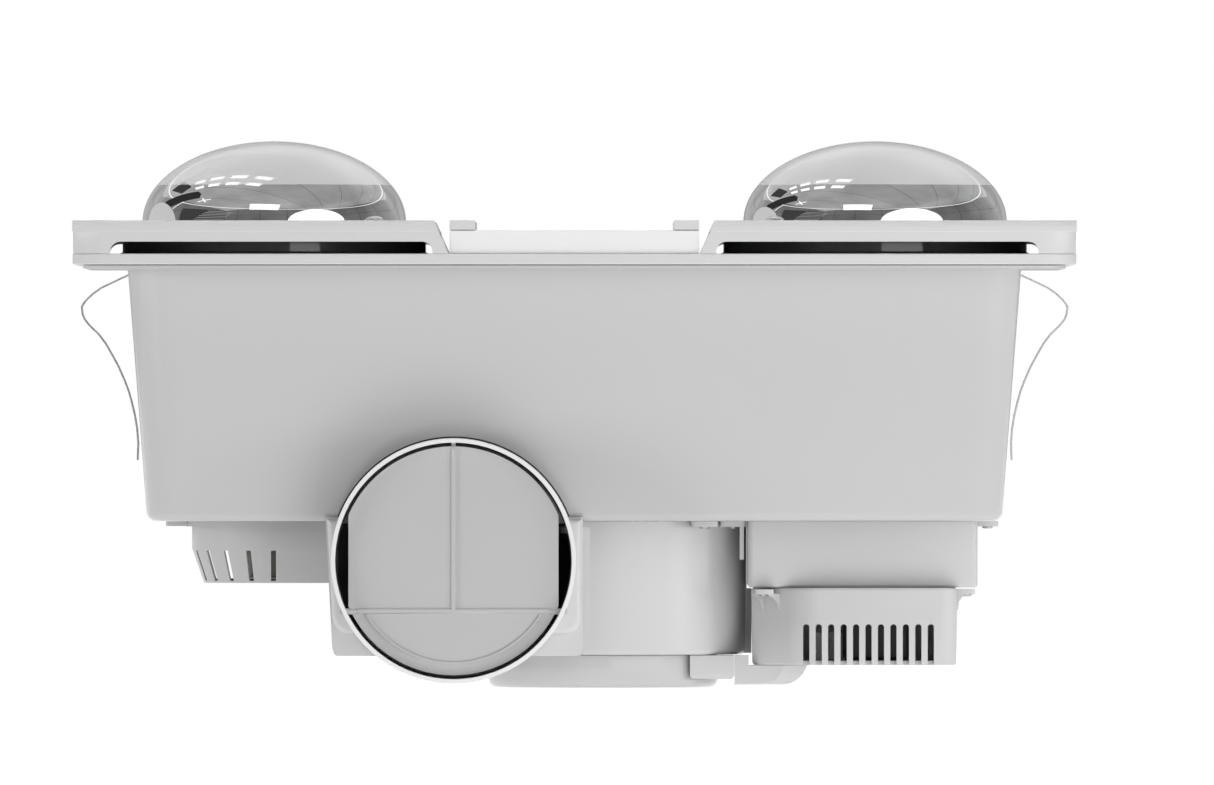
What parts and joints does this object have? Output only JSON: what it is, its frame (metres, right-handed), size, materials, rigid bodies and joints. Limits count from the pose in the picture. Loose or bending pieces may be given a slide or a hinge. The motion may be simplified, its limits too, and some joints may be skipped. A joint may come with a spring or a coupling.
{
  "type": "exhaust fan with light",
  "caption": "Recessed bathroom ceiling unit: a tapered housing with heat lamps and a centre light in the fascia, and a centrifugal exhaust fan with a round side spigot behind it.",
  "frame": {"origin": "centre of the fascia's plan, at the level of the motor cap's back face, the lowest face in this pose", "axes": "+X along the fascia's long side, +Y away from the duct spigot, +Z from the motor cap towards the fascia; installed in a ceiling the unit is turned over, so that +Z points down into the room"},
  "size_m": [0.48, 0.29, 0.263],
  "materials": {
    "fascia_white": "satin",
    "diffuser": "milky, satin",
    "collar_dark": "matte",
    "housing_sheet": "satin pale grey",
    "shell_plastic": "fine matte",
    "adaptor_plastic": "satin",
    "flap_plastic": "satin",
    "impeller_plastic": "satin",
    "lamp_mirror": "mirrored glass",
    "screw_cap": "bright",
    "holder_white": "glazed",
    "spring_steel": "plated",
    "motor_steel": "laminated",
    "reflector_metal": "bright",
    "winding": "enamelled copper wire",
    "board_white": "solder mask",
    "black_plastic": "moulded",
    "bush_rubber": "matte"
  },
  "bodies": {
    "chassis": {"housing": "housing_sheet", "heat_lamp_left": "lamp_mirror", "heat_lamp_right": "lamp_mirror", "lamp_cap_left": "screw_cap", "lamp_cap_right": "screw_cap", "lampholder_left": "holder_white", "lampholder_right": "holder_white", "lamp_reflector_left": "reflector_metal", "lamp_reflector_right": "reflector_metal", "lampholder_cover_left": "shell_plastic", "lampholder_cover_right": "shell_plastic", "electrics_box": "shell_plastic", "terminal_block": "board_white", "motor_capacitor": "black_plastic", "cable_bush": "bush_rubber", "scroll_housing": "shell_plastic", "inlet_ring": "reflector_metal", "motor_cap": "housing_sheet", "motor_stator": "motor_steel", "motor_winding": "winding", "motor_bracket": "spring_steel", "motor_bearing_lower": "screw_cap", "motor_bearing_upper": "screw_cap", "motor_lead_block": "shell_plastic", "lead_elbow": "shell_plastic", "duct_adaptor": "adaptor_plastic", "clip_pin_left": "spring_steel", "clip_pin_right": "spring_steel", "clip_bracket_left": "spring_steel", "clip_bracket_right": "spring_steel"},
    "fascia": {"fascia_plate": "fascia_white", "lamp_cover_left": "fascia_white", "lamp_cover_right": "fascia_white", "lamp_collar_left": "collar_dark", "lamp_collar_right": "collar_dark", "light_diffuser": "diffuser", "light_trim_left": "fascia_white", "light_trim_right": "fascia_white", "led_board": "board_white", "led_driver": "board_white"},
    "rotor": {"impeller": "impeller_plastic", "motor_shaft": "spring_steel", "motor_rotor": "motor_steel"},
    "damper": {"damper_flap": "flap_plastic"},
    "clip_left_arm": {"clip_arm_left": "spring_steel"},
    "clip_left_tail": {"clip_tail_left": "spring_steel"},
    "clip_right_arm": {"clip_arm_right": "spring_steel"},
    "clip_right_tail": {"clip_tail_right": "spring_steel"}
  },
  "joints": [
    {"name": "fascia_lift", "type": "slide", "parent": "chassis", "child": "fascia", "axis": [0, 0, 1], "range_m": [0, 0.065]},
    {"name": "impeller_spin", "type": "hinge", "parent": "chassis", "child": "rotor", "pos_m": [0.0137, 0.005, 0.029], "axis": [0, 0, 1], "continuous": true},
    {"name": "damper_swing", "type": "hinge", "parent": "chassis", "child": "damper", "pos_m": [-0.0583, -0.1385, 0.0373], "axis": [1, 0, 0], "range_deg": [0, 75]},
    {"name": "clip_left_press", "type": "hinge", "parent": "chassis", "child": "clip_left_arm", "pos_m": [-0.2095, 0, 0.1972], "axis": [0, -1, 0], "range_deg": [0, 42], "stiffness_Nm_per_rad": 0.25},
    {"name": "clip_left_knee", "type": "hinge", "parent": "clip_left_arm", "child": "clip_left_tail", "pos_m": [-0.2369, 0, 0.1816], "axis": [0, 1, 0], "range_deg": [0, 60]},
    {"name": "clip_right_press", "type": "hinge", "parent": "chassis", "child": "clip_right_arm", "pos_m": [0.2095, 0, 0.1972], "axis": [0, 1, 0], "range_deg": [0, 42], "stiffness_Nm_per_rad": 0.25},
    {"name": "clip_right_knee", "type": "hinge", "parent": "clip_right_arm", "child": "clip_right_tail", "pos_m": [0.2369, 0, 0.1816], "axis": [0, -1, 0], "range_deg": [0, 60]}
  ],
  "couplings": [
    {"joint": "clip_left_knee", "follows": "clip_left_press", "ratio": 1.42},
    {"joint": "clip_right_knee", "follows": "clip_right_press", "ratio": 1.42}
  ]
}
